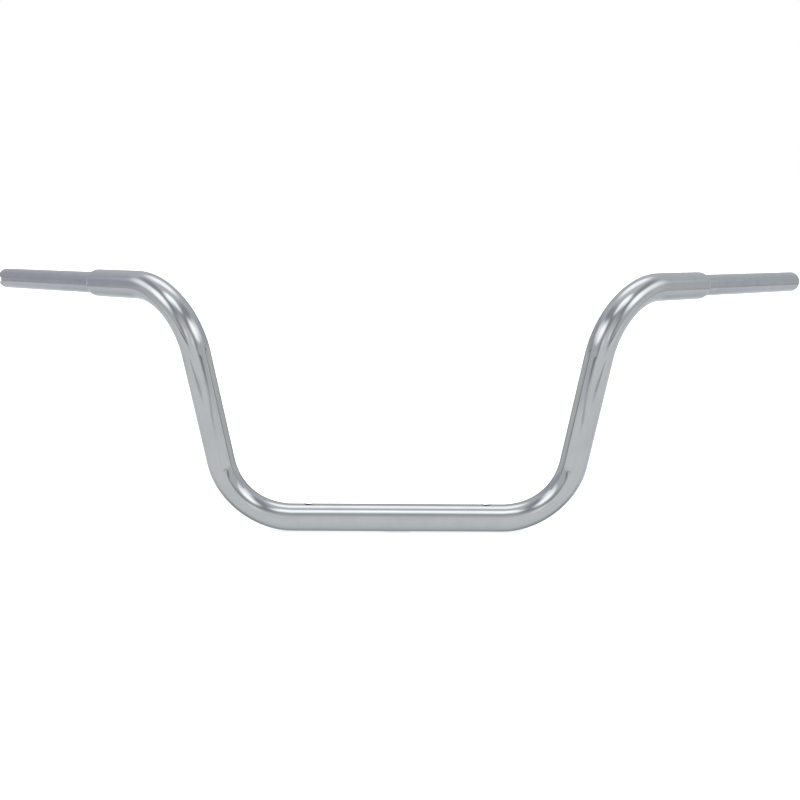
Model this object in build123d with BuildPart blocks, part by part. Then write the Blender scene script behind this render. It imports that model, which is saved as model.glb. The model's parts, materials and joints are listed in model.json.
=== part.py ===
from build123d import *
import math
import os

# A motorcycle handlebar: one fat steel tube, bent four times and closed in at both ends, with a
# thinner control tube standing out of each end. Inside the fat tube a reducing sleeve centres the
# control tube, and outside a small weld holds it.
#
# Frame: origin on the axis of the straight clamp section, halfway along it. +X runs along that
# section to the rider's left, +Y points back to the rider and +Z points up. The rider's right
# end, at -X, carries the throttle. All sizes are in millimetres and all angles in degrees.

# Tubes
TUBE_OD = 31.75
TUBE_WALL = 2.4
CONTROL_OD = 25.0
CONTROL_WALL = 2.4

# Route: a clamp section, risers that lean outwards, and arms that run out, back and slightly down
CLAMP_STRAIGHT = 241.5
RISER_LEAN = 9.8
RISER_STRAIGHT = 126.0
PULLBACK = 39.7
DROP = 4.2
ARM_STRAIGHT = 77.5
BEND_RADIUS = 82.0

# A bent tube goes oval: thinner in the plane of the bend and a little wider across it
BEND_FLATTENING = 0.06
BEND_SPREAD = 0.012

# Closed-in end of the fat tube: a rounded shoulder that ends in a flat face with a round mouth
SHOULDER_LENGTH = 6.0
SHOULDER_FACE_RADIUS = 13.6
MOUTH_LENGTH = 2.5
MOUTH_TAPER = 2.0

# Control tubes: the part that shows, and the part inside the fat tube, turned down a little
CONTROL_SHOWN = 207.5
CONTROL_INSERTED = 42.0
TURNED_DOWN = 0.2
END_ROUND = 1.0
END_BREAK = 0.5

# Reducing sleeve between the two tubes, and the weld in the corner outside
SLEEVE_LENGTH = 32.0
WELD_LENGTH = 1.5

# Throttle end: two opposite notches that stop the throttle's sensor from turning
NOTCH_WIDTH = 6.0
NOTCH_DEPTH = 7.0

# Openings for wires: two round holes in the top rear of the clamp section, one slot under its
# middle, and one slot under each control tube where the switches sit
REAR_HOLE_DIAMETER = 11.0
REAR_HOLE_SPACING = 206.0
REAR_HOLE_TILT = 14.0
CENTRE_SLOT_LENGTH = 34.0
CENTRE_SLOT_WIDTH = 12.0
SWITCH_SLOT_LENGTH = 18.0
SWITCH_SLOT_WIDTH = 9.0
SWITCH_SLOT_FROM_FACE = 46.0

tube_radius = TUBE_OD / 2
tube_bore_radius = tube_radius - TUBE_WALL
control_radius = CONTROL_OD / 2
control_bore_radius = control_radius - CONTROL_WALL
turned_radius = control_radius - TURNED_DOWN

# Directions of the clamp section, the riser and the arm on the +X side
along_clamp = Vector(1, 0, 0)
lean = math.radians(RISER_LEAN)
pullback = math.radians(PULLBACK)
drop = math.radians(DROP)
along_riser = Vector(math.sin(lean), 0, math.cos(lean))
along_arm = Vector(
    math.cos(drop) * math.cos(pullback),
    math.cos(drop) * math.sin(pullback),
    -math.sin(drop),
)

# Ends of the straight runs. A bend's two ends lie the same reach from the corner it replaces.
lower_reach = BEND_RADIUS * math.tan(math.radians(along_clamp.get_angle(along_riser)) / 2)
upper_reach = BEND_RADIUS * math.tan(math.radians(along_riser.get_angle(along_arm)) / 2)
clamp_end = along_clamp * (CLAMP_STRAIGHT / 2)
riser_foot = clamp_end + along_clamp * lower_reach + along_riser * lower_reach
riser_top = riser_foot + along_riser * RISER_STRAIGHT
arm_start = riser_top + along_riser * upper_reach + along_arm * upper_reach
shoulder_start = arm_start + along_arm * ARM_STRAIGHT
shoulder_face = shoulder_start + along_arm * SHOULDER_LENGTH
arm_side = along_arm.cross(Vector(0, 0, 1)).normalized()

with BuildLine() as clamp_axis:
    Line((0, 0, 0), clamp_end)
with BuildLine() as lower_bend_axis:
    TangentArc(clamp_end, riser_foot, tangent=along_clamp)
with BuildLine() as riser_axis:
    Line(riser_foot, riser_top)
with BuildLine() as upper_bend_axis:
    TangentArc(riser_top, arm_start, tangent=along_riser)
with BuildLine() as arm_axis:
    Line(arm_start, shoulder_start)

straight_axes = [clamp_axis.edge(), riser_axis.edge(), arm_axis.edge()]
bends = [
    (lower_bend_axis.edge(), along_clamp.cross(along_riser).normalized()),
    (upper_bend_axis.edge(), along_riser.cross(along_arm).normalized()),
]


# The fat tube. Half of it is built, solid first and then hollowed, and mirrored to the other side.
with BuildPart() as bent_tube:
    for radius, mode in ((tube_radius, Mode.ADD), (tube_bore_radius, Mode.SUBTRACT)):
        for axis in straight_axes:
            with BuildSketch(Plane(origin=axis @ 0, z_dir=axis % 0)):
                Circle(radius)
            extrude(amount=axis.length, mode=mode)
        for axis, across in bends:
            squeeze = tube_radius * BEND_FLATTENING
            swell = tube_radius * BEND_SPREAD
            with BuildSketch(Plane(origin=axis @ 0, x_dir=across, z_dir=axis % 0)):
                Circle(radius)
            with BuildSketch(Plane(origin=axis @ 0.5, x_dir=across, z_dir=axis % 0.5)):
                Ellipse(radius + swell, radius - squeeze)
            with BuildSketch(Plane(origin=axis @ 1, x_dir=across, z_dir=axis % 1)):
                Circle(radius)
            sweep(path=axis, multisection=True, mode=mode)
    # Closed-in end: the section of its wall, turned round the arm's axis
    with BuildSketch(Plane(origin=shoulder_start, x_dir=arm_side, z_dir=arm_side.cross(along_arm))):
        with BuildLine():
            Line((tube_bore_radius, 0), (tube_radius, 0))
            EllipticalCenterArc(
                (SHOULDER_FACE_RADIUS, 0),
                tube_radius - SHOULDER_FACE_RADIUS,
                SHOULDER_LENGTH,
                start_angle=0,
                arc_size=90,
            )
            Polyline(
                (SHOULDER_FACE_RADIUS, SHOULDER_LENGTH),
                (turned_radius, SHOULDER_LENGTH),
                (turned_radius, SHOULDER_LENGTH - MOUTH_LENGTH),
                (tube_bore_radius, SHOULDER_LENGTH - MOUTH_LENGTH - MOUTH_TAPER),
                (tube_bore_radius, 0),
            )
        make_face()
    revolve(axis=Axis(shoulder_start, along_arm), revolution_arc=360)
    mirror(about=Plane.YZ)
    # Wire holes in the top rear of the clamp section
    rear_tilt = math.radians(REAR_HOLE_TILT)
    rear_direction = Vector(0, math.sin(rear_tilt), math.cos(rear_tilt))
    with BuildSketch(Plane(origin=(0, 0, 0), x_dir=along_clamp, z_dir=rear_direction)):
        with GridLocations(REAR_HOLE_SPACING, 0, 2, 1):
            Circle(REAR_HOLE_DIAMETER / 2)
    extrude(amount=TUBE_OD, mode=Mode.SUBTRACT)
    # Wire slot under the middle of the clamp section
    with BuildSketch(Plane(origin=(0, 0, 0), x_dir=along_clamp, z_dir=(0, 0, -1))):
        SlotOverall(CENTRE_SLOT_LENGTH, CENTRE_SLOT_WIDTH)
    extrude(amount=TUBE_OD, mode=Mode.SUBTRACT)

nodes = {"bent_tube": bent_tube.part}

# The joint and the control tube at each end. The two sides differ only in the throttle's notches.
for side, sign in (("left", 1), ("right", -1)):
    outwards = Vector(sign * along_arm.X, along_arm.Y, along_arm.Z)
    face = Vector(sign * shoulder_face.X, shoulder_face.Y, shoulder_face.Z)
    level = outwards.cross(Vector(0, 0, 1)).normalized()
    inner_end = face - outwards * CONTROL_INSERTED
    weld_end = face + outwards * WELD_LENGTH
    tip = face + outwards * CONTROL_SHOWN
    switch_slot = face + outwards * SWITCH_SLOT_FROM_FACE

    with BuildPart() as control_tube:
        with BuildSketch(Plane(origin=inner_end, z_dir=outwards)):
            Circle(turned_radius)
            Circle(control_bore_radius, mode=Mode.SUBTRACT)
        extrude(amount=CONTROL_INSERTED + WELD_LENGTH)
        with BuildSketch(Plane(origin=weld_end, z_dir=outwards)):
            Circle(control_radius)
            Circle(control_bore_radius, mode=Mode.SUBTRACT)
        extrude(amount=CONTROL_SHOWN - WELD_LENGTH)
        tip_face = control_tube.faces().sort_by(Axis(face, outwards))[-1]
        chamfer(tip_face.edges().sort_by(SortBy.RADIUS)[0], length=END_BREAK)
        tip_face = control_tube.faces().sort_by(Axis(face, outwards))[-1]
        fillet(tip_face.edges().sort_by(SortBy.RADIUS)[-1], radius=END_ROUND)
        # Slot on the underside, where the switch wires go in
        with BuildSketch(Plane(origin=switch_slot, x_dir=outwards, z_dir=outwards.cross(level))):
            SlotOverall(SWITCH_SLOT_LENGTH, SWITCH_SLOT_WIDTH)
        extrude(amount=sign * CONTROL_OD, mode=Mode.SUBTRACT)
        if side == "right":
            with BuildSketch(Plane(origin=tip, x_dir=level, z_dir=outwards)):
                Rectangle(2 * CONTROL_OD, NOTCH_WIDTH)
            extrude(amount=-NOTCH_DEPTH, mode=Mode.SUBTRACT)

    with BuildPart() as reducing_sleeve:
        with BuildSketch(Plane(origin=inner_end, z_dir=outwards)):
            Circle(tube_bore_radius)
            Circle(turned_radius, mode=Mode.SUBTRACT)
        extrude(amount=SLEEVE_LENGTH)

    # Weld bead: a small three-sided ring in the corner between the face and the control tube
    with BuildPart() as weld_ring:
        with BuildSketch(Plane(origin=face, x_dir=level, z_dir=level.cross(outwards))):
            with BuildLine():
                Polyline(
                    (turned_radius, 0),
                    (SHOULDER_FACE_RADIUS, 0),
                    (control_radius, WELD_LENGTH),
                    (turned_radius, WELD_LENGTH),
                    close=True,
                )
            make_face()
        revolve(axis=Axis(face, outwards), revolution_arc=360)

    nodes[f"{side}_control_tube"] = control_tube.part
    nodes[f"{side}_reducing_sleeve"] = reducing_sleeve.part
    nodes[f"{side}_weld_ring"] = weld_ring.part

os.makedirs("parts", exist_ok=True)
for name, piece in nodes.items():
    piece.label = name
    export_step(piece, f"parts/{name}.step")
    print(name, "volume", round(piece.volume, 1), "valid", piece.is_valid)
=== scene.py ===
"""Looks of a wide, pulled-back motorcycle handlebar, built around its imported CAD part.

The bar is one fat chromed tube, bent four times and closed in at both ends, with a thinner control
tube standing out of each end, a reducing sleeve hidden inside each joint and a small weld outside
it. Each of them is a class below. Everything is in metres, in the frame of the CAD part: the origin
is halfway along the clamp section, +X runs to the rider's left, +Y back to the rider and +Z up.
"""
import json
import logging
import math
from dataclasses import dataclass, field
from enum import Enum
from typing import Callable, Optional, Union

import bmesh
import bpy
from mathutils import Matrix, Vector


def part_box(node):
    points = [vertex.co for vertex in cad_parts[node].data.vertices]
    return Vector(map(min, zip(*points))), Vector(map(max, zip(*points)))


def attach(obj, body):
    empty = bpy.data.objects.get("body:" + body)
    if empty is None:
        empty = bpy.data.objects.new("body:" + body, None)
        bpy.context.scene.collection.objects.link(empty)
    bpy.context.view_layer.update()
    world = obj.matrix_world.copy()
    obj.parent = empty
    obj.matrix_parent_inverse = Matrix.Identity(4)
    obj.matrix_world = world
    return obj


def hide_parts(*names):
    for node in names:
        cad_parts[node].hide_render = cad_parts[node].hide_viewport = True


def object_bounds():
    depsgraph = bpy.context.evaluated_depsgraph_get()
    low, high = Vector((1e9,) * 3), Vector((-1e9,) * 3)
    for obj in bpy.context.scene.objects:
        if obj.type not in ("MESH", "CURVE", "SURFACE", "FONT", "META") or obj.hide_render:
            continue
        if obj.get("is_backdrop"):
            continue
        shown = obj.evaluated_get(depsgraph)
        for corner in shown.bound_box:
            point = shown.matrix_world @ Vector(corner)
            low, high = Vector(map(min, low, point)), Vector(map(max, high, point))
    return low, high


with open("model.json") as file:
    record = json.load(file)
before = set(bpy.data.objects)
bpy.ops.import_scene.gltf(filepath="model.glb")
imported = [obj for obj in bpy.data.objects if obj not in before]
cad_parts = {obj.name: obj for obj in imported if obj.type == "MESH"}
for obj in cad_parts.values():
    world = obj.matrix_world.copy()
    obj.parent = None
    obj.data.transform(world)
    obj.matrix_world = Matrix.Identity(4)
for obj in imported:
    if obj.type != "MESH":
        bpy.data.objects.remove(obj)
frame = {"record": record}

log = logging.getLogger("handlebar")
ROOT_BODY = "root"
UP = Vector((0, 0, 1))
PER_METRE = 1000  # millimetres in a metre
CLEAR = 0.002  # how far outside a tube's wall each cut starts
EDGE = 0.0001  # vertices nearer than this to a weld's edges stay where they are
SKIN = 0.0002  # faces nearer than this to a bore's wall belong to the bore
SAME = 1e-6  # points nearer than this are one point
DIGITS = 7  # decimal places that tell two points apart
MIDDLE = 0.5  # a noise pattern's middle value
AHEAD = 0.02  # least reach towards a light, which keeps what is behind it finite
Number = Union[int, float]


class Side(Enum):
    """The rider's two sides, with the sign that each has on the X axis."""

    LEFT = 1
    RIGHT = -1


class Slot(Enum):
    """The record's material slots."""

    POLISHED_CHROME = "polished_chrome"
    SATIN_CHROME = "satin_chrome"
    WELD_CHROME = "weld_chrome"
    BARE_STEEL = "bare_steel"


# ---------------------------------------------------------------- shader expressions


class Value:
    """A shader socket that can stand in a Python expression."""

    def __init__(self, graph: "Graph", socket: bpy.types.NodeSocket) -> None:
        """Keeps the socket and the graph that new Math nodes go into."""
        self.graph = graph
        self.socket = socket

    def __add__(self, other: "Operand") -> "Value":
        """Sum of two values."""
        return self.graph.math("ADD", self, other)

    def __radd__(self, other: "Operand") -> "Value":
        """Sum, with the number written first."""
        return self.graph.math("ADD", other, self)

    def __sub__(self, other: "Operand") -> "Value":
        """Difference of two values."""
        return self.graph.math("SUBTRACT", self, other)

    def __rsub__(self, other: "Operand") -> "Value":
        """Difference, with the number written first."""
        return self.graph.math("SUBTRACT", other, self)

    def __mul__(self, other: "Operand") -> "Value":
        """Product of two values."""
        return self.graph.math("MULTIPLY", self, other)

    def __rmul__(self, other: "Operand") -> "Value":
        """Product, with the number written first."""
        return self.graph.math("MULTIPLY", other, self)

    def __truediv__(self, other: "Operand") -> "Value":
        """Quotient of two values."""
        return self.graph.math("DIVIDE", self, other)

    def __pow__(self, other: "Operand") -> "Value":
        """Power of a value."""
        return self.graph.math("POWER", self, other)

    def __abs__(self) -> "Value":
        """Distance from zero."""
        return self.graph.math("ABSOLUTE", self)


Operand = Union[Value, Number]
Colour = tuple[float, float, float]
Scales = tuple[float, float, float]
Stops = tuple[tuple[float, Colour], ...]
Span = tuple[float, float]


@dataclass(frozen=True)
class Grain:
    """How a noise pattern is made.

    Attributes:
        scale: How many times the pattern repeats in a metre.
        detail: How many finer layers it has.
        rough: How strong the finer layers are.
    """

    scale: float
    detail: float
    rough: float = 0.5


class Graph:
    """A node tree that is filled from Python expressions."""

    def __init__(self, tree: bpy.types.NodeTree) -> None:
        """Empties the tree, so that it holds only what is asked for."""
        self.tree = tree
        tree.nodes.clear()

    def node(
        self,
        kind: str,
        settings: Optional[dict[str, object]] = None,
        inputs: Optional[dict[str, object]] = None,
    ) -> bpy.types.Node:
        """Adds one node.

        Args:
            kind: The node's type name.
            settings: The node's own properties, set before its sockets. "stops" holds a colour
                ramp's stops, as pairs of position and colour.
            inputs: The value or the link of each socket, by the socket's name or number.

        Returns:
            The new node.
        """
        made = self.tree.nodes.new(kind)
        for name, setting in (settings or {}).items():
            if name == "stops":
                self._set_stops(made.color_ramp, setting)
            else:
                setattr(made, name, setting)
        for name, value in (inputs or {}).items():
            self.put(made.inputs[name], value)
        return made

    @staticmethod
    def _set_stops(ramp: bpy.types.ColorRamp, stops: Stops) -> None:
        """Gives a colour ramp its stops.

        Args:
            ramp: The ramp of a Color Ramp node, with its two first stops still in place.
            stops: Position and colour of each stop, from low to high.
        """
        while len(ramp.elements) < len(stops):
            ramp.elements.new(0.5)
        for element, (position, colour) in zip(ramp.elements, stops):
            element.position = position
            element.color = (*colour, 1.0)

    def put(self, socket: bpy.types.NodeSocket, value: object) -> None:
        """Sets a socket to a number or colour, or links it to a value.

        Args:
            socket: The input socket.
            value: A Value, a socket, or what the socket's default value takes.
        """
        if isinstance(value, Value):
            self.tree.links.new(value.socket, socket)
        elif isinstance(value, bpy.types.NodeSocket):
            self.tree.links.new(value, socket)
        else:
            socket.default_value = value

    def math(self, operation: str, *operands: Operand, clamp: bool = False) -> Value:
        """Adds a Math node.

        Args:
            operation: The Math node's operation.
            operands: Its inputs, in order.
            clamp: Whether the result is kept between 0 and 1.

        Returns:
            The node's result.
        """
        settings = {"operation": operation, "use_clamp": clamp}
        made = self.node("ShaderNodeMath", settings, dict(enumerate(operands)))
        return Value(self, made.outputs[0])

    def dot(self, vector: bpy.types.NodeSocket, direction: Vector) -> Value:
        """How far a vector reaches along a fixed direction."""
        settings = {"operation": "DOT_PRODUCT"}
        made = self.node("ShaderNodeVectorMath", settings, {0: vector, 1: tuple(direction)})
        return Value(self, made.outputs["Value"])

    def ease(self, value: Operand, start: float, end: float) -> Value:
        """Rises smoothly from 0 to 1 as a value goes from start to end."""
        settings = {"interpolation_type": "SMOOTHSTEP"}
        inputs = {"Value": value, "From Min": start, "From Max": end}
        made = self.node("ShaderNodeMapRange", settings, inputs)
        return Value(self, made.outputs["Result"])

    def share(self, value: Operand, low: float, high: float) -> Value:
        """Carries a range of values to 0 to 1, and stops at its ends."""
        inputs = {"Value": value, "From Min": low, "From Max": high}
        made = self.node("ShaderNodeMapRange", {"clamp": True}, inputs)
        return Value(self, made.outputs["Result"])

    def noise(self, vector: bpy.types.NodeSocket, grain: Grain) -> Value:
        """Adds a Noise Texture.

        Args:
            vector: Where the pattern is read.
            grain: How the pattern is made.

        Returns:
            The noise, around its middle value.
        """
        inputs = {"Vector": vector, "Scale": grain.scale, "Detail": grain.detail}
        inputs["Roughness"] = grain.rough
        return Value(self, self.node("ShaderNodeTexNoise", None, inputs).outputs[0])

    def stretched(self, vector: bpy.types.NodeSocket, stretch: Scales) -> bpy.types.NodeSocket:
        """Scales a place by a different amount along each axis."""
        return self.node("ShaderNodeMapping", None, {0: vector, "Scale": stretch}).outputs[0]

    def mix(self, factor: Operand, first: object, second: object) -> bpy.types.NodeSocket:
        """Blends two colours.

        Args:
            factor: 0 for the first colour and 1 for the second.
            first: A colour, or a socket that carries one.
            second: A colour, or a socket that carries one.

        Returns:
            The socket with the blended colour.
        """
        made = self.node("ShaderNodeMix", {"data_type": "RGBA"}, {0: factor})
        for number, colour in ((6, first), (7, second)):
            self.put(made.inputs[number], (*colour, 1.0) if isinstance(colour, tuple) else colour)
        return made.outputs[2]

    def bump(self, height: Value, distance: float, strength: float = 1.0) -> bpy.types.NodeSocket:
        """Turns a height into a normal.

        Args:
            height: The height, from 0 to 1.
            distance: How many metres a height of 1 stands up.
            strength: The share of the effect that is used.

        Returns:
            The socket with the bent normal.
        """
        inputs = {"Strength": strength, "Distance": distance, "Height": height}
        return self.node("ShaderNodeBump", None, inputs).outputs["Normal"]


# ---------------------------------------------------------------- finishes


@dataclass(frozen=True)
class Finish:
    """What every metal finish of the bar shares: a name and a way to make its material."""

    name: str

    def material(self) -> bpy.types.Material:
        """Makes the finish's material.

        Returns:
            A new material whose nodes colour, polish and texture the surface.
        """
        made = bpy.data.materials.new(self.name)
        made.use_nodes = True
        graph = Graph(made.node_tree)
        shader = graph.node("ShaderNodeBsdfPrincipled", None, {"Metallic": 1.0})
        end = graph.node("ShaderNodeOutputMaterial")
        graph.put(end.inputs["Surface"], shader.outputs[0])
        self.texture(graph, shader)
        return made

    def texture(self, graph: Graph, shader: bpy.types.Node) -> None:
        """Links the finish's patterns to the shader. Each finish has its own."""
        raise NotImplementedError


@dataclass(frozen=True)
class PolishedChrome(Finish):
    """Bright plating over polished steel, with faint buffing lines along the tube.

    Attributes:
        colour: Colour of the clean plating.
        dull_colour: Its colour under haze.
        roughness: Roughness of the clean plating.
        haze: How much rougher it is under haze.
        haze_span: The noise values where haze starts and where it is full.
        haze_grain: The haze's pattern.
        line_roughness: How much the buffing lines change the roughness.
        line_height: How high they stand.
        line_stretch: How they are stretched around and along the tube.
        line_grain: Their pattern.
        wave_height: How high the tube's slight waves stand.
        wave_grain: Their pattern.
    """

    name: str = "polished_chrome"
    colour: Colour = (0.448, 0.470, 0.482)
    dull_colour: Colour = (0.425, 0.447, 0.461)
    roughness: float = 0.05
    haze: float = 0.04
    haze_span: Span = (0.42, 0.7)
    haze_grain: Grain = Grain(38.0, 4.0, 0.55)
    line_roughness: float = 0.03
    line_height: float = 0.0000012
    line_stretch: Scales = (60.0, 2.5, 1.0)
    line_grain: Grain = Grain(9.0, 3.0, 0.6)
    wave_height: float = 0.00004
    wave_grain: Grain = Grain(14.0, 1.0, 0.4)

    def texture(self, graph: Graph, shader: bpy.types.Node) -> None:
        """Adds haze, buffing lines and the slight waviness of a bent tube.

        Args:
            graph: The material's graph.
            shader: Its Principled shader.
        """
        place = graph.node("ShaderNodeTexCoord").outputs
        lines = graph.noise(graph.stretched(place["UV"], self.line_stretch), self.line_grain)
        cloud = graph.share(graph.noise(place["Object"], self.haze_grain), *self.haze_span)
        wave = graph.noise(place["Object"], self.wave_grain)
        rough = self.roughness + cloud * self.haze + (lines - MIDDLE) * self.line_roughness
        height = wave + (lines - MIDDLE) * (self.line_height / self.wave_height)
        graph.put(shader.inputs["Base Color"], graph.mix(cloud, self.colour, self.dull_colour))
        graph.put(shader.inputs["Roughness"], rough)
        graph.put(shader.inputs["Normal"], graph.bump(height, self.wave_height))


@dataclass(frozen=True)
class SatinChrome(Finish):
    """Plating over turned steel, where grips and lever clamps sit: greyer, with lines around.

    Attributes:
        colour: Colour of the clean plating.
        dull_colour: Its colour under haze.
        roughness: Roughness of the clean plating.
        haze: How much rougher it is under haze.
        haze_span: The noise values where haze starts and where it is full.
        haze_grain: The haze's pattern.
        line_share: How much of the haze follows the turning lines.
        line_height: How high the lines stand.
        line_stretch: How they are stretched around and along the tube.
        line_grain: Their pattern.
    """

    name: str = "satin_chrome"
    colour: Colour = (0.435, 0.455, 0.475)
    dull_colour: Colour = (0.395, 0.415, 0.44)
    roughness: float = 0.08
    haze: float = 0.05
    haze_span: Span = (0.35, 0.7)
    haze_grain: Grain = Grain(55.0, 4.0, 0.6)
    line_share: float = 0.5
    line_height: float = 0.0000018
    line_stretch: Scales = (1.2, 260.0, 1.0)
    line_grain: Grain = Grain(4.0, 4.0, 0.65)

    def texture(self, graph: Graph, shader: bpy.types.Node) -> None:
        """Adds the fine turning lines that run around the tube, and a grey haze.

        Args:
            graph: The material's graph.
            shader: Its Principled shader.
        """
        place = graph.node("ShaderNodeTexCoord").outputs
        lines = graph.noise(graph.stretched(place["UV"], self.line_stretch), self.line_grain)
        haze = graph.noise(place["Object"], self.haze_grain)
        cloud = graph.share(haze + (lines - MIDDLE) * self.line_share, *self.haze_span)
        rough = self.roughness + cloud * self.haze
        graph.put(shader.inputs["Base Color"], graph.mix(cloud, self.colour, self.dull_colour))
        graph.put(shader.inputs["Roughness"], rough)
        graph.put(shader.inputs["Normal"], graph.bump(lines, self.line_height))


@dataclass(frozen=True)
class WeldChrome(Finish):
    """A dressed and plated weld, a little duller than the tubes beside it.

    Attributes:
        colour: Colour of its bright parts.
        dull_colour: Colour of its dull patches.
        roughness: Roughness of its bright parts.
        patch_roughness: How much rougher the patches are.
        patch_span: The noise values where a patch starts and where it is full.
        patch_grain: The patches' pattern.
        pit_height: How deep the pits are.
        pit_grain: Their pattern.
    """

    name: str = "weld_chrome"
    colour: Colour = (0.36, 0.37, 0.385)
    dull_colour: Colour = (0.24, 0.245, 0.255)
    roughness: float = 0.16
    patch_roughness: float = 0.12
    patch_span: Span = (0.4, 0.65)
    patch_grain: Grain = Grain(160.0, 3.0)
    pit_height: float = 0.00003
    pit_grain: Grain = Grain(900.0, 3.0, 0.6)

    def texture(self, graph: Graph, shader: bpy.types.Node) -> None:
        """Adds the small pits and dull patches left by dressing the weld.

        Args:
            graph: The material's graph.
            shader: Its Principled shader.
        """
        place = graph.node("ShaderNodeTexCoord").outputs
        pits = graph.noise(place["Object"], self.pit_grain)
        patch = graph.share(graph.noise(place["Object"], self.patch_grain), *self.patch_span)
        graph.put(shader.inputs["Base Color"], graph.mix(patch, self.colour, self.dull_colour))
        graph.put(shader.inputs["Roughness"], self.roughness + patch * self.patch_roughness)
        graph.put(shader.inputs["Normal"], graph.bump(pits, self.pit_height))


@dataclass(frozen=True)
class BareSteel(Finish):
    """Unplated steel inside the tubes: brown-grey scale, worn bright in places, with patches of rust.

    Attributes:
        colour: Colour of the scale.
        rust: Colour of the rust.
        bright: Colour of the steel where the scale has worn off.
        roughness: Roughness of the scale.
        rust_cover: How much of the steel's colour the rust hides.
        rust_dullness: How much less metallic the rust is.
        rust_roughness: How much rougher it is.
        rust_span: The noise values where rust starts and where it is full.
        rust_grain: The rust's pattern.
        worn_polish: How much smoother the worn steel is.
        worn_span: The noise values where wear starts and where it is full.
        scale_height: How high the scale stands.
        scale_grain: Its pattern.
    """

    name: str = "bare_steel"
    colour: Colour = (0.105, 0.092, 0.085)
    rust: Colour = (0.14, 0.062, 0.03)
    bright: Colour = (0.27, 0.26, 0.255)
    roughness: float = 0.48
    rust_cover: float = 0.8
    rust_dullness: float = 0.75
    rust_roughness: float = 0.3
    rust_span: Span = (0.48, 0.62)
    rust_grain: Grain = Grain(70.0, 4.0, 0.6)
    worn_polish: float = 0.12
    worn_span: Span = (0.55, 0.75)
    scale_height: float = 0.00006
    scale_grain: Grain = Grain(420.0, 6.0, 0.65)

    def texture(self, graph: Graph, shader: bpy.types.Node) -> None:
        """Adds mill scale, worn places and rust.

        Args:
            graph: The material's graph.
            shader: Its Principled shader.
        """
        place = graph.node("ShaderNodeTexCoord").outputs
        scale = graph.noise(place["Object"], self.scale_grain)
        rusty = graph.share(graph.noise(place["Object"], self.rust_grain), *self.rust_span)
        worn = graph.share(scale, *self.worn_span)
        steel = graph.mix(worn, self.colour, self.bright)
        rough = self.roughness + rusty * self.rust_roughness - worn * self.worn_polish
        graph.put(shader.inputs["Base Color"], graph.mix(rusty * self.rust_cover, steel, self.rust))
        graph.put(shader.inputs["Metallic"], 1.0 - rusty * self.rust_dullness)
        graph.put(shader.inputs["Roughness"], rough)
        graph.put(shader.inputs["Normal"], graph.bump(scale, self.scale_height))


# ---------------------------------------------------------------- the bar's route


@dataclass(frozen=True)
class Ring:
    """One cross-section of a tube that follows the route.

    Attributes:
        centre: The point on the tube's axis.
        along: The direction of the axis there.
        up: The direction that angles around the tube are counted from.
        run: How far along the route the section is.
    """

    centre: Vector
    along: Vector
    up: Vector
    run: float


@dataclass(frozen=True)
class Route:
    """The axis of the +X half of the bar: a clamp section, a riser that leans outwards and an arm.

    Attributes:
        clamp_half: Half the length of the clamp section.
        riser_lean: How far the riser leans outwards, in degrees.
        riser_straight: Length of the riser between its bends.
        pullback: How far the arm turns back to the rider, in degrees.
        drop: How far the arm points down, in degrees.
        arm_straight: Length of the arm between its bend and the closed-in end.
        bend_radius: Radius of both bends, at the tube's axis.
        shoulder: Length of the closed-in end.
    """

    clamp_half: float
    riser_lean: float = 9.8
    riser_straight: float = 0.126
    pullback: float = 39.7
    drop: float = 4.2
    arm_straight: float = 0.0775
    bend_radius: float = 0.082
    shoulder: float = 0.006

    @property
    def along_clamp(self) -> Vector:
        """Direction of the clamp section."""
        return Vector((1, 0, 0))

    @property
    def along_riser(self) -> Vector:
        """Direction of the riser, upwards."""
        lean = math.radians(self.riser_lean)
        return Vector((math.sin(lean), 0, math.cos(lean)))

    @property
    def along_arm(self) -> Vector:
        """Direction of the arm and the control tube, outwards."""
        back, drop = math.radians(self.pullback), math.radians(self.drop)
        flat = math.cos(drop)
        return Vector((flat * math.cos(back), flat * math.sin(back), -math.sin(drop)))

    def reach(self, before: Vector, after: Vector) -> float:
        """Distance from a corner of the route to each end of the bend that rounds it."""
        return self.bend_radius * math.tan(before.angle(after) / 2)

    @property
    def shoulder_start(self) -> Vector:
        """Where the fat tube starts to close in."""
        lower = self.reach(self.along_clamp, self.along_riser)
        upper = self.reach(self.along_riser, self.along_arm)
        corner = self.along_clamp * (self.clamp_half + lower)
        riser = self.along_riser * (lower + self.riser_straight + upper)
        return corner + riser + self.along_arm * (upper + self.arm_straight)

    @property
    def face(self) -> Vector:
        """Middle of the flat face that ends the fat tube."""
        return self.shoulder_start + self.along_arm * self.shoulder


# ---------------------------------------------------------------- mesh helpers


def square_to(along: Vector) -> tuple[Vector, Vector]:
    """The level direction and the upward one that are square to a tube's direction."""
    level = along.cross(UP).normalized()
    return level, level.cross(along)


def shade(mesh: bpy.types.Mesh, sharp: float) -> None:
    """Shades a mesh smooth, and leaves crisp what turns by more than a number of degrees."""
    mesh.shade_smooth()
    mesh.set_sharp_from_angle(angle=math.radians(sharp))


def place_ring_uv(bm: bmesh.types.BMesh, angle_run: Callable[[Vector], tuple[float, float]]) -> None:
    """Gives every face a UV map: turns around the tube, and metres along it.

    Args:
        bm: The mesh, whose faces are on a tube.
        angle_run: The angle around the tube in radians and the run in metres, for a point.
    """
    layer = bm.loops.layers.uv.verify()
    found = {vert: angle_run(vert.co) for vert in bm.verts}
    for face in bm.faces:
        places = [found[loop.vert] for loop in face.loops]
        low = min(angle for angle, _ in places)
        for loop, (angle, run) in zip(face.loops, places):
            if angle - low > math.pi:
                angle -= 2 * math.pi
            loop[layer].uv = (angle / (2 * math.pi), run)


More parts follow.
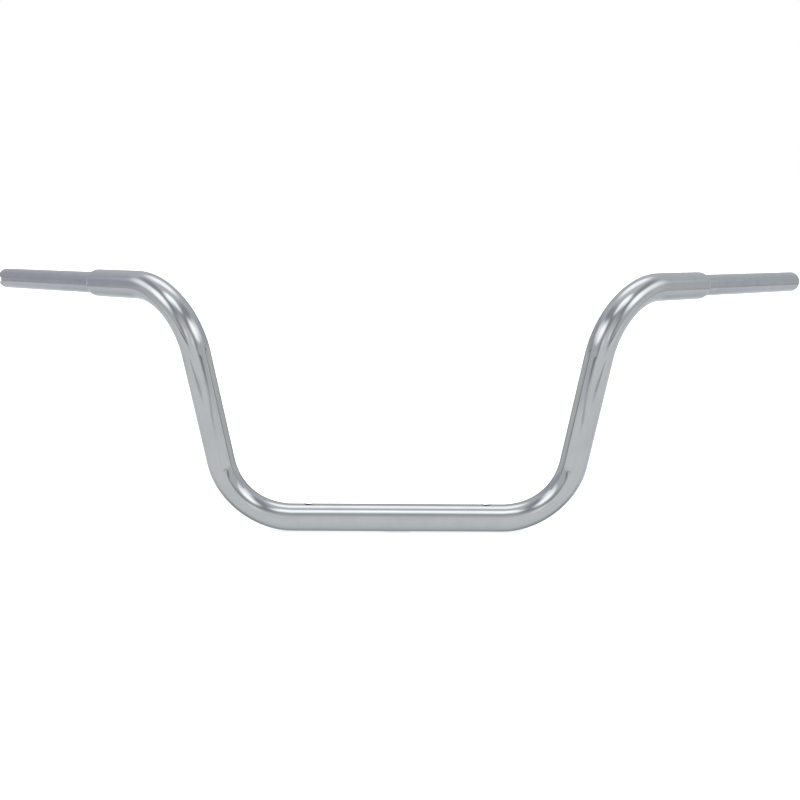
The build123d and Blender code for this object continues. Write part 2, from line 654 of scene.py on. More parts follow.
def finish_object(bm: bmesh.types.BMesh, name: str, sharp: float = 35.0) -> bpy.types.Object:
    """Turns a finished bmesh into an object of the scene.

    Args:
        bm: The mesh, with its place in it. It is freed.
        name: The object's name.
        sharp: Edges that turn by more than this many degrees stay crisp.

    Returns:
        The new object, at the origin and unturned.
    """
    mesh = bpy.data.meshes.new(name)
    bm.normal_update()
    bm.to_mesh(mesh)
    bm.free()
    shade(mesh, sharp)
    made = bpy.data.objects.new(name, mesh)
    bpy.context.scene.collection.objects.link(made)
    return made


def turn(
    wall: list[tuple[float, float]],
    origin: Vector,
    along: Vector,
    steps: int,
) -> bmesh.types.BMesh:
    """Turns a closed wall section around an axis, as on a lathe.

    Args:
        wall: Corners of the section, as distance along the axis and radius. It closes on itself.
        origin: Where the axis starts.
        along: The direction of the axis.
        steps: How many faces go around.

    Returns:
        The closed ring-shaped mesh, with its faces outwards.
    """
    bm = bmesh.new()
    level, _ = square_to(along)
    corners = [bm.verts.new(origin + along * run + level * radius) for run, radius in wall]
    edges = [bm.edges.new((corners[i - 1], corners[i])) for i in range(len(corners))]
    bmesh.ops.spin(
        bm,
        geom=corners + edges,
        cent=origin,
        axis=along,
        angle=2 * math.pi,
        steps=steps,
        use_merge=True,
    )
    bmesh.ops.remove_doubles(bm, verts=bm.verts, dist=SAME)
    bmesh.ops.recalc_face_normals(bm, faces=bm.faces)
    return bm


def rounded(
    corner: tuple[float, float],
    before: tuple[float, float],
    after: tuple[float, float],
    radius: float,
    steps: int,
) -> list[tuple[float, float]]:
    """Rounds a square corner of a wall section.

    Args:
        corner: The corner, as distance along the axis and radius.
        before: Unit direction from the corner back to the line before it.
        after: Unit direction from the corner on to the line after it.
        radius: Radius of the round.
        steps: How many short lines the round has.

    Returns:
        The points that stand for the corner.
    """
    points = []
    for step in range(steps + 1):
        angle = math.pi / 2 * step / steps
        back, on = radius * (1 - math.sin(angle)), radius * (1 - math.cos(angle))
        points.append(tuple(corner[i] + before[i] * back + after[i] * on for i in (0, 1)))
    return points


def cut(target: bpy.types.Object, tool: bmesh.types.BMesh) -> None:
    """Cuts a closed shape out of an object, for good.

    Args:
        target: The object to cut. Faces made by the cut get its second material.
        tool: The closed shape to take away. It is freed.
    """
    for face in tool.faces:
        face.material_index = 1
    bmesh.ops.recalc_face_normals(tool, faces=tool.faces)
    cutter = finish_object(tool, "cutter")
    cutter.data.materials.append(None)
    cutter.data.materials.append(None)
    knife = target.modifiers.new("cut", "BOOLEAN")
    knife.operation, knife.solver, knife.object = "DIFFERENCE", "EXACT", cutter
    view = bpy.context.evaluated_depsgraph_get()
    made = bpy.data.meshes.new_from_object(target.evaluated_get(view))
    target.modifiers.clear()
    old, target.data = target.data, made
    bpy.data.meshes.remove(old)
    bpy.data.objects.remove(cutter)


def pill(
    origin: Vector,
    along: Vector,
    inwards: Vector,
    length: float,
    width: float,
    depth: float,
    sides: int = 48,
) -> bmesh.types.BMesh:
    """Makes the closed shape that cuts a round-ended slot, or a round hole if it is as long as wide.

    Args:
        origin: Middle of the slot's mouth.
        along: The direction of the slot.
        inwards: The direction that the cut goes in.
        length: The slot's length over its round ends.
        width: Its width.
        depth: How deep the cut goes.
        sides: Faces around the two round ends together.

    Returns:
        The closed mesh.
    """
    bm = bmesh.new()
    across = inwards.cross(along)
    axes = Matrix((along, across, inwards)).transposed().to_4x4()
    made = bmesh.ops.create_circle(bm, cap_ends=True, segments=sides, radius=width / 2)
    for sign in (1, -1):
        end = [vert for vert in made["verts"] if sign * vert.co.x > SAME]
        bmesh.ops.translate(bm, verts=end, vec=(sign * (length - width) / 2, 0, 0))
    grown = bmesh.ops.extrude_face_region(bm, geom=bm.faces[:])
    tops = [v for v in grown["geom"] if isinstance(v, bmesh.types.BMVert)]
    bmesh.ops.translate(bm, verts=tops, vec=(0, 0, depth))
    bmesh.ops.transform(bm, matrix=Matrix.Translation(origin) @ axes, verts=bm.verts)
    return bm


def ride_and_name(piece: bpy.types.Object, node: str) -> bpy.types.Object:
    """Ties a finished piece to the bar's body in place of its CAD node, and reports it.

    Args:
        piece: The finished object.
        node: The CAD node that it stands for.

    Returns:
        The same object.
    """
    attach(piece, ROOT_BODY)
    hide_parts(node)
    low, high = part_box(node)
    log.info("%s: %d faces, CAD box %s to %s", piece.name, len(piece.data.polygons),
             tuple(round(v, 4) for v in low), tuple(round(v, 4) for v in high))
    return piece


# ---------------------------------------------------------------- the pieces


@dataclass
class BentTube:
    """The fat main tube, hollow, with oval bends, closed-in ends and its openings for wires.

    Attributes:
        route: The axis of its +X half.
        radius: Outside radius.
        wall: Wall thickness.
        flattening: How much thinner a bend is in its own plane, as a share of the radius.
        spread: How much wider it is across that plane.
        face_radius: Radius of the flat face at the closed-in end.
        mouth_radius: Radius of the hole in that face.
        mouth_length: Depth of that hole.
        mouth_taper: Length over which the bore opens out behind it.
        mouth_break: Size of the chamfer on the hole's edge.
        rear_hole: Diameter of the two wire holes in the top rear of the clamp section.
        rear_hole_spacing: Distance between them.
        rear_hole_tilt: How far their axes lean back from straight up, in degrees.
        centre_slot: Length and width of the wire slot under the middle.
        opening_depth: How deep each wire opening is cut, from just outside the tube.
        rim_round: Size of the round on the openings' rims.
        rim_turn: Edges there that turn by more than this many degrees are rims.
        rim_depth: How far under the outside a rim may lie.
        crease: Edges that turn by more than this many degrees stay crisp.
        sides: Faces around the tube.
        bend_steps: Rings in each bend.
        shoulder_steps: Rings in each shoulder.
        straight_step: Longest distance between rings on a straight.
        rings: Where each ring of the outside is, filled in as it is built.
    """

    route: Route
    radius: float
    wall: float = 0.0024
    flattening: float = 0.06
    spread: float = 0.012
    face_radius: float = 0.0136
    mouth_radius: float = 0.0123
    mouth_length: float = 0.0025
    mouth_taper: float = 0.002
    mouth_break: float = 0.0002
    rear_hole: float = 0.011
    rear_hole_spacing: float = 0.206
    rear_hole_tilt: float = 14.0
    centre_slot: tuple[float, float] = (0.034, 0.012)
    opening_depth: float = 0.012
    rim_round: float = 0.0004
    rim_turn: float = 40.0
    rim_depth: float = 0.0005
    crease: float = 50.0
    sides: int = 96
    bend_steps: int = 40
    shoulder_steps: int = 12
    straight_step: float = 0.004
    rings: list[Ring] = field(default_factory=list)

    def _start(self, bm: bmesh.types.BMesh, radius: float) -> list[bmesh.types.BMEdge]:
        """Makes the first ring, at the middle of the clamp section."""
        turned = Matrix.Rotation(math.pi / 2, 4, "Y")
        bmesh.ops.create_circle(bm, segments=self.sides, radius=radius, matrix=turned)
        return bm.edges[:]

    @staticmethod
    def _grow(bm: bmesh.types.BMesh, edges: list[bmesh.types.BMEdge]) -> tuple[list, list]:
        """Extrudes a ring, and returns the new ring's vertices and edges, still in the old place."""
        made = bmesh.ops.extrude_edge_only(bm, edges=edges)["geom"]
        verts = [item for item in made if isinstance(item, bmesh.types.BMVert)]
        return verts, [item for item in made if isinstance(item, bmesh.types.BMEdge)]

    def _straight(
        self, bm: bmesh.types.BMesh, edges: list, ring: Ring, length: float
    ) -> tuple[list, Ring]:
        """Runs a ring along a straight.

        Args:
            bm: The mesh.
            edges: The ring's edges.
            ring: Where the ring is.
            length: How far it goes.

        Returns:
            The last ring's edges, and where it is.
        """
        count = max(1, math.ceil(length / self.straight_step))
        for _ in range(count):
            verts, edges = self._grow(bm, edges)
            step = ring.along * (length / count)
            bmesh.ops.translate(bm, verts=verts, vec=step)
            ring = Ring(ring.centre + step, ring.along, ring.up, ring.run + length / count)
            self.rings.append(ring)
        return edges, ring

    def _bend(
        self, bm: bmesh.types.BMesh, edges: list, ring: Ring, after: Vector
    ) -> tuple[list, Ring]:
        """Runs a ring round a bend, and presses the bend's middle oval.

        Args:
            bm: The mesh.
            edges: The ring's edges.
            ring: Where the ring is.
            after: The direction of the route after the bend.

        Returns:
            The last ring's edges, and where it is.
        """
        axle = ring.along.cross(after).normalized()
        hub = ring.centre + axle.cross(ring.along) * self.route.bend_radius
        angle = ring.along.angle(after)
        turned = Matrix.Rotation(angle / self.bend_steps, 3, axle)
        pressed: list[tuple[list, Ring, float]] = []
        for step in range(1, self.bend_steps + 1):
            verts, edges = self._grow(bm, edges)
            bmesh.ops.rotate(bm, verts=verts, cent=hub, matrix=turned)
            centre = hub + turned @ (ring.centre - hub)
            run = ring.run + self.route.bend_radius * angle / self.bend_steps
            ring = Ring(centre, turned @ ring.along, turned @ ring.up, run)
            self.rings.append(ring)
            pressed.append((verts, ring, math.sin(math.pi * step / self.bend_steps) ** 2))
        for verts, at, share in pressed:
            in_plane = axle.cross(at.along)
            axes = Matrix((in_plane, axle, at.along)).to_4x4()
            thin, wide = 1 - self.flattening * share, 1 + self.spread * share
            space = axes @ Matrix.Translation(-at.centre)
            bmesh.ops.scale(bm, vec=(thin, wide, 1), verts=verts, space=space)
        return edges, ring

    def _follow_route(self, bm: bmesh.types.BMesh, radius: float) -> tuple[list, Ring]:
        """Grows the skin of one half, from the middle of the clamp section to the shoulder.

        Args:
            bm: The mesh.
            radius: The skin's radius.

        Returns:
            The last ring's edges, and where it is.
        """
        route = self.route
        edges = self._start(bm, radius)
        ring = Ring(Vector(), route.along_clamp, UP, 0.0)
        self.rings.append(ring)
        edges, ring = self._straight(bm, edges, ring, route.clamp_half)
        edges, ring = self._bend(bm, edges, ring, route.along_riser)
        edges, ring = self._straight(bm, edges, ring, route.riser_straight)
        edges, ring = self._bend(bm, edges, ring, route.along_arm)
        return self._straight(bm, edges, ring, route.arm_straight)

    def _close_in(self, bm: bmesh.types.BMesh, edges: list, ring: Ring) -> list[bmesh.types.BMEdge]:
        """Rounds the tube's end down to its face, and turns the wall in through the mouth.

        Args:
            bm: The mesh.
            edges: The last ring of the outside.
            ring: Where that ring is.

        Returns:
            The edges of the bore's first ring.
        """
        length, narrowing = self.route.shoulder, self.radius - self.face_radius
        turns = [math.pi / 2 * i / self.shoulder_steps for i in range(1, self.shoulder_steps + 1)]
        profile = [(length * math.sin(a), self.face_radius + narrowing * math.cos(a)) for a in turns]
        lip, back = self.mouth_break, length - self.mouth_length
        profile += [(length, self.mouth_radius + lip), (length - lip, self.mouth_radius)]
        profile += [(back, self.mouth_radius), (back - self.mouth_taper, self.radius - self.wall)]
        run, radius = 0.0, self.radius
        for next_run, next_radius in profile:
            verts, edges = self._grow(bm, edges)
            bmesh.ops.translate(bm, verts=verts, vec=ring.along * (next_run - run))
            share = next_radius / radius
            moved = Matrix.Translation(-(ring.centre + ring.along * next_run))
            bmesh.ops.scale(bm, vec=(share, share, share), verts=verts, space=moved)
            run, radius = next_run, next_radius
        return edges

    def build(self) -> bpy.types.Object:
        """Builds the tube's mesh.

        Returns:
            The object, with the outside in its first material and the bore in its second.
        """
        bm = bmesh.new()
        mouth = self._close_in(bm, *self._follow_route(bm, self.radius))
        shell = set(bm.faces)
        bore = self._start_bore(bm)
        bmesh.ops.bridge_loops(bm, edges=mouth + bore)
        bmesh.ops.remove_doubles(bm, verts=bm.verts, dist=SAME)
        for face in bm.faces:
            face.material_index = 0 if face in shell else 1
        whole = bm.verts[:] + bm.edges[:] + bm.faces[:]
        bmesh.ops.mirror(bm, geom=whole, axis="X", merge_dist=SAME)
        bmesh.ops.recalc_face_normals(bm, faces=bm.faces)
        place_ring_uv(bm, self._angle_run)
        return finish_object(bm, "bent_tube_chromed")

    def _start_bore(self, bm: bmesh.types.BMesh) -> list[bmesh.types.BMEdge]:
        """Adds the bore, as a second, thinner tube on the same route.

        Args:
            bm: The mesh that has the outside in it.

        Returns:
            The edges of the bore's last ring.
        """
        inner = bmesh.new()
        kept = list(self.rings)
        edges, _ = self._follow_route(inner, self.radius - self.wall)
        self.rings[:] = kept
        mesh = bpy.data.meshes.new("bore")
        last = {self._spot(vert) for edge in edges for vert in edge.verts}
        inner.to_mesh(mesh)
        inner.free()
        before = len(bm.edges)
        bm.from_mesh(mesh)
        bpy.data.meshes.remove(mesh)
        bm.edges.ensure_lookup_table()
        added = bm.edges[before:]
        return [
            edge for edge in added
            if edge.is_boundary and all(self._spot(vert) in last for vert in edge.verts)
        ]

    @staticmethod
    def _spot(vert: bmesh.types.BMVert) -> tuple[float, ...]:
        """A vertex's place, rounded so that it can be looked up."""
        return tuple(round(part, DIGITS) for part in vert.co)

    def _angle_run(self, point: Vector) -> tuple[float, float]:
        """The angle around the tube and the run along it, at a point on its wall."""
        near = Vector((abs(point.x), point.y, point.z))
        ring = min(self.rings, key=lambda r: (near - r.centre).length_squared)
        offset = near - ring.centre
        side = ring.along.cross(ring.up)
        angle = math.atan2(offset.dot(side), offset.dot(ring.up))
        return angle, ring.run + offset.dot(ring.along)

    def open_for_wires(self, piece: bpy.types.Object) -> None:
        """Cuts the two holes in the top rear of the clamp section and the slot under its middle.

        Args:
            piece: The tube's object.
        """
        tilt = math.radians(self.rear_hole_tilt)
        out = Vector((0, math.sin(tilt), math.cos(tilt)))
        along = self.route.along_clamp
        for side in Side:
            mouth = along * (side.value * self.rear_hole_spacing / 2) + out * (self.radius + CLEAR)
            cut(piece, pill(mouth, along, -out, self.rear_hole, self.rear_hole, self.opening_depth))
        mouth = -UP * (self.radius + CLEAR)
        cut(piece, pill(mouth, along, UP, *self.centre_slot, self.opening_depth))

    def round_rims(self, piece: bpy.types.Object) -> None:
        """Takes the sharp edge off the rims of the cut openings."""
        bm = bmesh.new()
        bm.from_mesh(piece.data)
        limit, inmost = math.radians(self.rim_turn), self.radius - self.rim_depth
        rims = [
            edge for edge in bm.edges
            if edge.is_manifold and edge.calc_face_angle(0) > limit
            and all(abs(vert.co.x) < self.route.clamp_half for vert in edge.verts)
            and max(vert.co.yz.length for vert in edge.verts) > inmost
        ]
        bmesh.ops.bevel(bm, geom=rims, offset=self.rim_round, affect="EDGES", segments=2,
                        profile=0.5, material=-1, clamp_overlap=True)
        bm.to_mesh(piece.data)
        bm.free()
        shade(piece.data, self.crease)

    def dress(self, chrome: bpy.types.Material, steel: bpy.types.Material) -> bpy.types.Object:
        """Builds the tube, cuts its openings and gives it its finishes.

        Args:
            chrome: The outside's material.
            steel: The bore's material.

        Returns:
            The finished object.
        """
        piece = self.build()
        piece.data.materials.append(chrome)
        piece.data.materials.append(steel)
        self.open_for_wires(piece)
        self.round_rims(piece)
        return ride_and_name(piece, "bent_tube")


@dataclass
class ControlTube:
    """The thin tube at one end, where the grip, the levers and the switches sit.

    Attributes:
        side: The rider's side.
        face: Middle of the fat tube's end face.
        along: The direction of the tube, outwards.
        radius: Outside radius of what shows.
        bore: Bore radius.
        shown: Length from the face to the tip.
        inserted: Length inside the fat tube.
        turned_radius: Outside radius of what is inside.
        weld: Length of the weld that covers its foot.
        end_round: Radius of the round on the tip's outer edge.
        end_steps: Short lines in that round.
        end_break: Size of the chamfer on the tip's inner edge.
        notch: Width and depth of the throttle's notches.
        switch_slot: Length and width of the slot for the switch wires.
        switch_slot_from_face: Distance from the face to the slot's middle.
        slot_depth: How deep the slot is cut, from just outside the tube.
        notch_corner: Radius of the notches' inner corners.
        crease: Edges that turn by more than this many degrees stay crisp.
        sides: Faces around the tube.
        shown_rings: Rings along what shows.
        bore_rings: Rings along the bore.
    """

    side: Side
    face: Vector
    along: Vector
    radius: float
    bore: float
    shown: float = 0.2075
    inserted: float = 0.042
    turned_radius: float = 0.0123
    weld: float = 0.0015
    end_round: float = 0.001
    end_steps: int = 5
    end_break: float = 0.0005
    notch: tuple[float, float] = (0.006, 0.007)
    switch_slot: tuple[float, float] = (0.018, 0.009)
    switch_slot_from_face: float = 0.046
    slot_depth: float = 0.01
    notch_corner: float = 0.001
    crease: float = 35.0
    sides: int = 96
    shown_rings: int = 24
    bore_rings: int = 12

    def build(self) -> bpy.types.Object:
        """Turns the tube's wall, with its rounded tip, and gives it a UV map.

        Returns:
            The object, still without its slot and notches.
        """
        tip, foot = self.shown, -self.inserted
        wall = [(foot, self.bore), (foot, self.turned_radius), (self.weld, self.turned_radius)]
        wall += [(self.weld, self.radius)]
        plain, count = tip - 3 * self.end_round - self.weld, self.shown_rings
        wall += [(self.weld + plain * i / count, self.radius) for i in range(1, count + 1)]
        wall += rounded((tip, self.radius), (-1, 0), (0, -1), self.end_round, self.end_steps)
        wall += [(tip, self.bore + self.end_break), (tip - self.end_break, self.bore)]
        count = self.bore_rings
        wall += [(foot + (tip - foot) * i / count, self.bore) for i in range(count - 1, 0, -1)]
        bm = turn(wall, self.face, self.along, self.sides)
        for face in bm.faces:
            middle = face.calc_center_median() - self.face
            out = (middle - self.along * middle.dot(self.along)).length
            face.material_index = 1 if out < self.bore + SKIN else 0
        place_ring_uv(bm, self._angle_run)
        return finish_object(bm, f"{self.side.name.lower()}_control_tube_chromed")

    def _angle_run(self, point: Vector) -> tuple[float, float]:
        """The angle around the tube and the run along it, at a point on its wall."""
        offset = point - self.face
        level, up = square_to(self.along)
        return math.atan2(offset.dot(level), offset.dot(up)), offset.dot(self.along)

    def open_for_switches(self, piece: bpy.types.Object) -> None:
        """Cuts the slot on the underside, where the switch wires go in."""
        _, up = square_to(self.along)
        mouth = self.face + self.along * self.switch_slot_from_face - up * (self.radius + CLEAR)
        cut(piece, pill(mouth, self.along, up, *self.switch_slot, self.slot_depth))

    def notch_tip(self, piece: bpy.types.Object) -> None:
        """Cuts the two opposite notches that stop the throttle's sensor from turning."""
        width, depth = self.notch
        level, up = square_to(self.along)
        axes = Matrix((level, up, self.along)).transposed().to_4x4()
        bm = bmesh.new()
        bmesh.ops.create_cube(bm, size=1)
        bmesh.ops.scale(bm, vec=(4 * self.radius, width, 2 * depth), verts=bm.verts)
        low = [edge for edge in bm.edges if all(vert.co.z < 0 for vert in edge.verts)]
        deep = [edge for edge in low if abs(edge.verts[0].co.x - edge.verts[1].co.x) > self.radius]
        bmesh.ops.bevel(bm, geom=deep, offset=self.notch_corner, affect="EDGES", segments=3,
                        profile=0.5, material=-1)
        place = Matrix.Translation(self.face + self.along * self.shown) @ axes
        bmesh.ops.transform(bm, matrix=place, verts=bm.verts)
        cut(piece, bm)

    def dress(self, chrome: bpy.types.Material, steel: bpy.types.Material) -> bpy.types.Object:
        """Builds the tube, cuts its openings and gives it its finishes.

        Args:
            chrome: The outside's material.
            steel: The bore's material.

        Returns:
            The finished object.
        """
        piece = self.build()
        piece.data.materials.append(chrome)
        piece.data.materials.append(steel)
        self.open_for_switches(piece)
        if self.side is Side.RIGHT:
            self.notch_tip(piece)
        shade(piece.data, self.crease)
        return ride_and_name(piece, f"{self.side.name.lower()}_control_tube")


@dataclass
class ReducingSleeve:
    """The sleeve that fills the gap between the fat tube's bore and the control tube.

    Attributes:
        side: The rider's side.
        face: Middle of the fat tube's end face.
        along: The direction of the control tube, outwards.
        inner: Radius of its bore.
        outer: Outside radius.
        length: Its length.
        from_face: Distance from the face back to its inner end.
        break_edge: Size of the chamfer on its outer edges.
        sides: Faces around it.
    """

    side: Side
    face: Vector
    along: Vector
    inner: float = 0.0123
    outer: float = 0.013475
    length: float = 0.032
    from_face: float = 0.042
    break_edge: float = 0.0003
    sides: int = 96

    def dress(self, steel: bpy.types.Material) -> bpy.types.Object:
        """Turns the sleeve, with its edges broken.

        Args:
            steel: Its material.

        Returns:
            The finished object.
        """
        start, end, cut_back = -self.from_face, self.length - self.from_face, self.break_edge
        wall = [(start, self.inner), (start, self.outer - cut_back), (start + cut_back, self.outer)]
        wall += [(end - cut_back, self.outer), (end, self.outer - cut_back), (end, self.inner)]
        bm = turn(wall, self.face, self.along, self.sides)
        name = f"{self.side.name.lower()}_reducing_sleeve"
        piece = finish_object(bm, f"{name}_turned")
        piece.data.materials.append(steel)
        return ride_and_name(piece, name)


@dataclass
class WeldRing:
    """The small weld in the corner between the fat tube's face and the control tube.

    Attributes:
        side: The rider's side.
        face: Middle of the fat tube's end face.
        along: The direction of the control tube, outwards.
        foot_radius: Outside radius at the face.
        tube_radius: Outside radius at its far end, where it meets the control tube.
        turned_radius: Radius of its hole, round the control tube's turned-down end.
        length: Its length.
        sag: How far its skin sinks in between its two edges, as a share of its length.
        skin_rings: Short lines across its skin.
        ripples: How many ripples run around it.
        ripple_depth: How deep they are.
        ripple_sides: Faces around each ripple.
        crease: Edges that turn by more than this many degrees stay crisp.
    """

    side: Side
    face: Vector
    along: Vector
    foot_radius: float = 0.0136
    tube_radius: float = 0.0125
    turned_radius: float = 0.0123
    length: float = 0.0015
    sag: float = 0.048
    skin_rings: int = 6
    ripples: int = 44
    ripple_depth: float = 0.00012
    ripple_sides: int = 8
    crease: float = 60.0

    def dress(self, chrome: bpy.types.Material) -> bpy.types.Object:
        """Turns the weld and presses its ripples into it.

        Args:
            chrome: Its material.

        Returns:
            The finished object.
        """
        wall = [(0.0, self.turned_radius), (0.0, self.foot_radius)]
        narrowing = self.foot_radius - self.tube_radius
        for i in range(1, self.skin_rings):
            share = i / self.skin_rings
            sunk = self.sag * self.length * math.sin(math.pi * share)
            wall.append((self.length * share - sunk, self.foot_radius - narrowing * share - sunk))
        wall += [(self.length, self.tube_radius), (self.length, self.turned_radius)]
        bm = turn(wall, self.face, self.along, self.ripples * self.ripple_sides)
        level, up = square_to(self.along)
        for vert in bm.verts:
            offset = vert.co - self.face
            run = offset.dot(self.along)
            out = offset - self.along * run
            if not EDGE < run < self.length - EDGE or out.length < self.turned_radius + EDGE:
                continue
            angle = math.atan2(out.dot(up), out.dot(level))
            dip = self.ripple_depth * (0.5 + 0.5 * math.cos(self.ripples * angle))
            vert.co -= out.normalized() * dip
        name = f"{self.side.name.lower()}_weld_ring"
        piece = finish_object(bm, f"{name}_dressed", self.crease)
        piece.data.materials.append(chrome)
        return ride_and_name(piece, name)


# ---------------------------------------------------------------- studio


@dataclass(frozen=True)
class SoftLight:
    """A large soft light, far enough away to be only a direction.

    Attributes:
        name: What it is.
        azimuth: Where it stands around the bar, in degrees: 0 is in front and 90 at +X.
        elevation: How high it stands, in degrees.
        width: Half its width, in degrees.
        height: Half its height, in degrees.
        colour: Its colour and brightness.
        softness: The share of its size over which its edge fades.
        roll: How far it is turned about its own middle, in degrees.
        squareness: 2 for a round light, more for a square one.
    """

    name: str
    azimuth: float
    elevation: float
    width: float
    height: float
    colour: Colour
    softness: float = 0.5
    roll: float = 0.0
    squareness: float = 2.0

    def mask(self, graph: Graph, ray: bpy.types.NodeSocket) -> Value:
        """How much of the light is seen in a direction.

        Args:
            graph: The world's graph.
            ray: The socket with the direction.

        Returns:
            1 in the light, 0 outside it, and between them at its soft edge.
        """
        turn_round, rise = math.radians(self.azimuth), math.radians(self.elevation)
        outwards = Vector((math.sin(turn_round), -math.cos(turn_round), 0))
        aim = outwards * math.cos(rise) + UP * math.sin(rise)
        level = Vector((math.cos(turn_round), math.sin(turn_round), 0))
        up = aim.cross(level)
        rolled = Matrix.Rotation(math.radians(self.roll), 3, aim)
        level, up = rolled @ level, rolled @ up
        ahead = graph.math("MAXIMUM", graph.dot(ray, aim), AHEAD)
        across = abs(graph.dot(ray, level) / ahead) * (1 / math.tan(math.radians(self.width)))
        along = abs(graph.dot(ray, up) / ahead) * (1 / math.tan(math.radians(self.height)))
        power = self.squareness
        far = (across ** power + along ** power) ** (1 / power)
        return graph.ease(far, 1 + self.softness, 1 - self.softness)


@dataclass
class Studio:
    """A white sweep with large soft lights around the bar, and the camera.

    Attributes:
        floor_height: Height of the floor.
        camera_place: Where the camera stands.
        camera_aim: The point that it looks at.
        camera_roll: How far it is turned about its own line of sight, in degrees.
        lens: Its focal length, in millimetres.
        sensor: Its sensor's width, in millimetres.
        floor_size: Length of the floor's sides.
        floor_glow: How much light the floor gives by itself.
        front: The surround in front of the bar, from straight below to straight above.
        back: The surround behind it.
        seam: Where the front gives way to the back, as the ray's share of the Y axis.
    """

    floor_height: float
    camera_place: Vector = field(default_factory=lambda: Vector((0.0043, -1.0689, 0.4409)))
    camera_aim: Vector = field(default_factory=lambda: Vector((0.0026, 0.1, 0.1138)))
    camera_roll: float = -0.256
    lens: float = 44.48
    sensor: float = 36.0
    floor_size: float = 12.0
    floor_glow: float = 0.6
    front: Stops = (
        (-1.0, (0.84, 0.86, 0.87)),
        (-0.9, (0.92, 0.93, 0.94)),
        (-0.7, (1.0, 1.0, 1.0)),
        (-0.3, (1.03, 1.03, 1.02)),
        (0.1, (1.03, 1.03, 1.02)),
        (0.35, (1.02, 0.97, 0.98)),
        (0.55, (0.84, 0.80, 0.83)),
        (0.74, (0.62, 0.64, 0.66)),
        (0.9, (0.72, 0.73, 0.74)),
        (1.0, (0.90, 0.90, 0.91)),
    )
    back: Stops = (
        (-1.0, (0.70, 0.73, 0.75)),
        (-0.9, (0.46, 0.50, 0.53)),
        (-0.78, (0.44, 0.48, 0.51)),
        (-0.55, (0.85, 0.87, 0.90)),
        (-0.33, (0.97, 0.97, 1.00)),
        (-0.30, (0.64, 0.64, 0.65)),
        (0.0, (0.70, 0.71, 0.73)),
        (0.4, (0.72, 0.74, 0.77)),
        (0.7, (0.84, 0.84, 0.86)),
        (1.0, (0.94, 0.94, 0.95)),
    )
    seam: Span = (-0.3, 0.25)

    @property
    def lights(self) -> list[SoftLight]:
        """The soft lights and the darker stretches between them."""
        found = [
            SoftLight("open_back", 180, -4, 42, 18, (0.42, 0.42, 0.45), 0.6),
            SoftLight("right_back_shade", -120, 6, 36, 23, (0.60, 0.60, 0.66), 0.35),
        ]
        for side in Side:
            word, sign = side.name.lower(), side.value
            found += [
                SoftLight(f"{word}_wall", sign * 126, -4, 25, 7.5, (0.80, 0.80, 0.76), 0.4),
                SoftLight(f"{word}_roof_gap", sign * 76, 55, 26, 12, (0.50, 0.51, 0.55), 0.6),
                SoftLight(f"{word}_front_gap", sign * 33, 39, 14, 15, (0.44, 0.45, 0.49), 0.8),
                SoftLight(
                    f"{word}_table_far", sign * 58, 7, 27, 11.5, (0.78, 0.79, 0.81), 0.2, squareness=4
                ),
                SoftLight(f"{word}_table_edge", sign * 40, -3.5, 13, 2.6, (0.40, 0.40, 0.41), 0.5),
                SoftLight(f"{word}_stand", sign * 31, 12, 8, 16, (0.52, 0.53, 0.55), 0.6, sign * -6),
                SoftLight(f"{word}_seam", sign * 32, -8.8, 16, 0.45, (0.60, 0.60, 0.61), 0.7, sign * 12.5),
                SoftLight(f"{word}_fold", sign * 31, -17.3, 17, 0.45, (0.46, 0.45, 0.46), 0.7, sign * -5),
                SoftLight(f"{word}_side_box", sign * 82, 32, 17, 10.5, (1.7, 1.7, 1.73), 0.95, sign * -8),
                SoftLight(f"{word}_side_tail", sign * 64, 23, 9, 6, (1.5, 1.5, 1.53), 0.9),
                SoftLight(f"{word}_corner_box", sign * 56, 34, 14, 12.5, (2.2, 2.15, 2.15), 0.75),
                SoftLight(f"{word}_high_box", sign * 20, 64, 9, 8, (1.7, 1.72, 1.72), 0.8),
                SoftLight(f"{word}_low_box", sign * 14, 12, 4, 5, (1.45, 1.35, 1.4), 0.8),
            ]
        found += [
            SoftLight("rear_overhead", 180, 60, 20, 14, (2.0, 1.92, 1.98), 0.5, squareness=2.5),
            SoftLight("front_overhead", 0, 74, 12, 8.5, (2.1, 2.15, 2.13), 0.5, squareness=2.5),
            SoftLight("front_glint", 0, 21.5, 7, 0.9, (1.17, 1.17, 1.17), 0.6),
        ]
        return found

    def light_up(self) -> None:
        """Fills the world with the surround and the lights, which the camera itself doesn't see."""
        world = bpy.data.worlds.new("studio")
        bpy.context.scene.world = world
        world.use_nodes = True
        graph = Graph(world.node_tree)
        ray = graph.node("ShaderNodeTexCoord").outputs["Generated"]
        height = graph.share(graph.dot(ray, UP), -1, 1)
        halves = []
        for half in (self.front, self.back):
            settings = {"stops": tuple(((z + 1) / 2, colour) for z, colour in half)}
            halves.append(graph.node("ShaderNodeValToRGB", settings, {"Fac": height}).outputs["Color"])
        behind = graph.ease(graph.dot(ray, Vector((0, 1, 0))), *self.seam)
        seen = graph.mix(behind, *halves)
        for light in self.lights:
            seen = graph.mix(light.mask(graph, ray), seen, light.colour)
        camera_ray = graph.node("ShaderNodeLightPath").outputs["Is Camera Ray"]
        seen = graph.mix(camera_ray, seen, (1.0, 1.0, 1.0))
        back = graph.node("ShaderNodeBackground", None, {"Color": seen, "Strength": 1.0})
        end = graph.node("ShaderNodeOutputWorld")
        graph.put(end.inputs["Surface"], back.outputs[0])

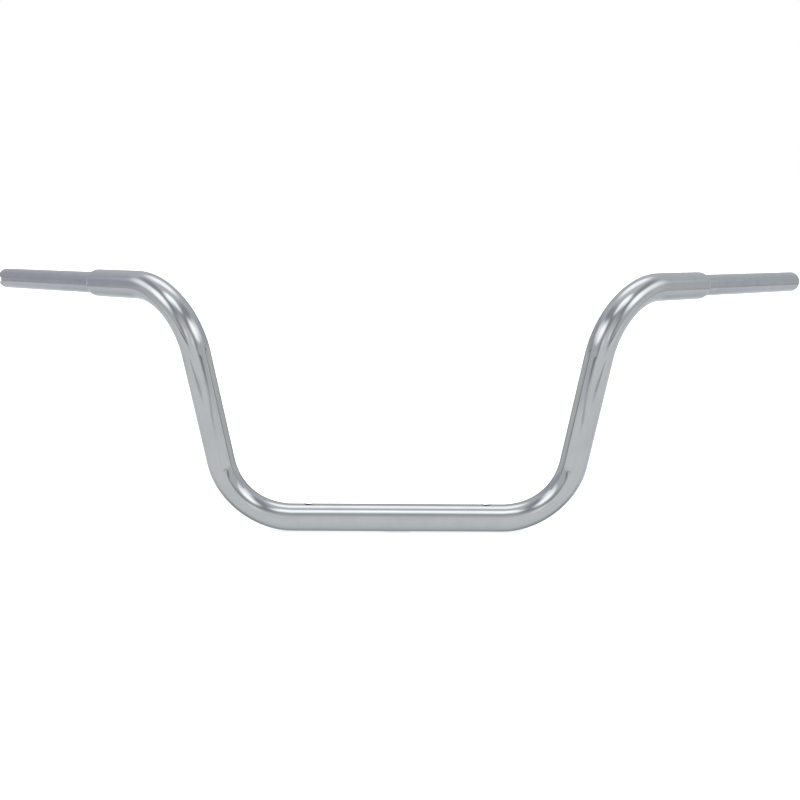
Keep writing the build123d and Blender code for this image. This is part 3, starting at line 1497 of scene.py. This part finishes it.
    def lay_floor(self) -> None:
        """Lays the plain pale floor under the bar."""
        bm = bmesh.new()
        bmesh.ops.create_grid(bm, x_segments=4, y_segments=4, size=self.floor_size / 2)
        bmesh.ops.translate(bm, verts=bm.verts, vec=(0, 0, self.floor_height))
        floor = finish_object(bm, "floor")
        paint = bpy.data.materials.new("pale_floor")
        paint.use_nodes = True
        graph = Graph(paint.node_tree)
        inputs = {"Base Color": (0.9, 0.9, 0.9, 1), "Roughness": 0.9, "Emission Color": (1, 1, 1, 1)}
        inputs["Emission Strength"] = self.floor_glow
        shader = graph.node("ShaderNodeBsdfPrincipled", None, inputs)
        end = graph.node("ShaderNodeOutputMaterial")
        graph.put(end.inputs["Surface"], shader.outputs[0])
        floor.data.materials.append(paint)
        floor.visible_glossy = False
        floor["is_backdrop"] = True

    def set_camera(self) -> None:
        """Places the camera in front of the bar, a little above it."""
        lens = bpy.data.cameras.new("camera")
        lens.lens, lens.sensor_width = self.lens, self.sensor
        camera = bpy.data.objects.new("camera", lens)
        bpy.context.scene.collection.objects.link(camera)
        aim = (self.camera_aim - self.camera_place).normalized()
        turned = Matrix.Rotation(math.radians(self.camera_roll), 3, aim)
        pose = turned @ aim.to_track_quat("-Z", "Y").to_matrix()
        camera.matrix_world = Matrix.Translation(self.camera_place) @ pose.to_4x4()
        bpy.context.scene.camera = camera

    def set_up(self) -> None:
        """Makes the whole studio."""
        bpy.context.scene.view_settings.view_transform = "Standard"
        self.light_up()
        self.lay_floor()
        self.set_camera()


# ---------------------------------------------------------------- assembly


def mount(name: str) -> dict:
    """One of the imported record's mounts, by its name."""
    return next(m for m in frame["record"]["mounts"] if m["name"] == name)


def main() -> None:
    """Builds every piece of the bar in order, dresses it, and sets up the studio."""
    logging.basicConfig(level=logging.INFO, format="%(name)s %(message)s")
    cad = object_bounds()
    clamp = mount("clamp_section")["dims"]
    route = Route(clamp_half=clamp["length_mm"] / 2 / PER_METRE)
    chrome, satin = PolishedChrome().material(), SatinChrome().material()
    weld, steel = WeldChrome().material(), BareSteel().material()
    BentTube(route, clamp["r_mm"] / PER_METRE).dress(chrome, steel)
    for side in Side:
        word = side.name.lower()
        mirrored = Vector((side.value, 1, 1))
        face, along = route.face * mirrored, route.along_arm * mirrored
        seat, bore = mount(f"{word}_control_seat")["dims"], mount(f"{word}_end_bore")["dims"]
        radius, hollow = seat["r_mm"] / PER_METRE, bore["r_mm"] / PER_METRE
        ControlTube(side, face, along, radius, hollow).dress(satin, steel)
        ReducingSleeve(side, face, along).dress(steel)
        WeldRing(side, face, along).dress(weld)
    Studio(floor_height=cad[0].z).set_up()


if __name__ == "__main__":
    main()
